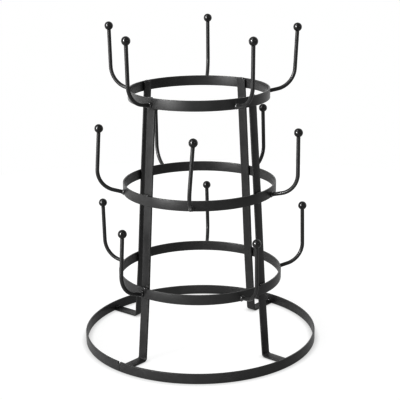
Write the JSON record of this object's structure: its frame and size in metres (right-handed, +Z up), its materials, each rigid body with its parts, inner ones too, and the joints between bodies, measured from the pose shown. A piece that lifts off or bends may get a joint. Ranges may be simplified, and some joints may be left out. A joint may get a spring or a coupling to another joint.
{
  "type": "mug tree",
  "caption": "Black steel mug tree: hoops on splayed legs over a wide base hoop, each upper hoop carrying bent wire pegs tipped with ball knobs.",
  "frame": {"origin": "centre of the base hoop, at the level that its lower edge stands on", "axes": "+Z up, square to the base hoop; -Y towards the front; +X to the right seen from the front"},
  "size_m": [0.292, 0.292, 0.3955],
  "materials": {
    "hoop_coat": "satin black powder coat",
    "leg_coat": "satin black powder coat",
    "wire_coat": "satin black powder coat",
    "ball_coat": "semi-gloss black powder coat"
  },
  "bodies": {
    "root": {"top_ring": "hoop_coat", "middle_ring": "hoop_coat", "lower_ring": "hoop_coat", "base_ring": "hoop_coat", "leg_front_left": "leg_coat", "leg_front_right": "leg_coat", "leg_back_right": "leg_coat", "leg_back_left": "leg_coat", "top_peg_1": "wire_coat", "top_peg_2": "wire_coat", "top_peg_3": "wire_coat", "top_peg_4": "wire_coat", "top_peg_5": "wire_coat", "middle_peg_1": "wire_coat", "middle_peg_2": "wire_coat", "middle_peg_3": "wire_coat", "middle_peg_4": "wire_coat", "middle_peg_5": "wire_coat", "lower_peg_1": "wire_coat", "lower_peg_2": "wire_coat", "lower_peg_3": "wire_coat", "lower_peg_4": "wire_coat", "lower_peg_5": "wire_coat", "top_ball_1": "ball_coat", "top_ball_2": "ball_coat", "top_ball_3": "ball_coat", "top_ball_4": "ball_coat", "top_ball_5": "ball_coat", "middle_ball_1": "ball_coat", "middle_ball_2": "ball_coat", "middle_ball_3": "ball_coat", "middle_ball_4": "ball_coat", "middle_ball_5": "ball_coat", "lower_ball_1": "ball_coat", "lower_ball_2": "ball_coat", "lower_ball_3": "ball_coat", "lower_ball_4": "ball_coat", "lower_ball_5": "ball_coat"}
  },
  "joints": []
}
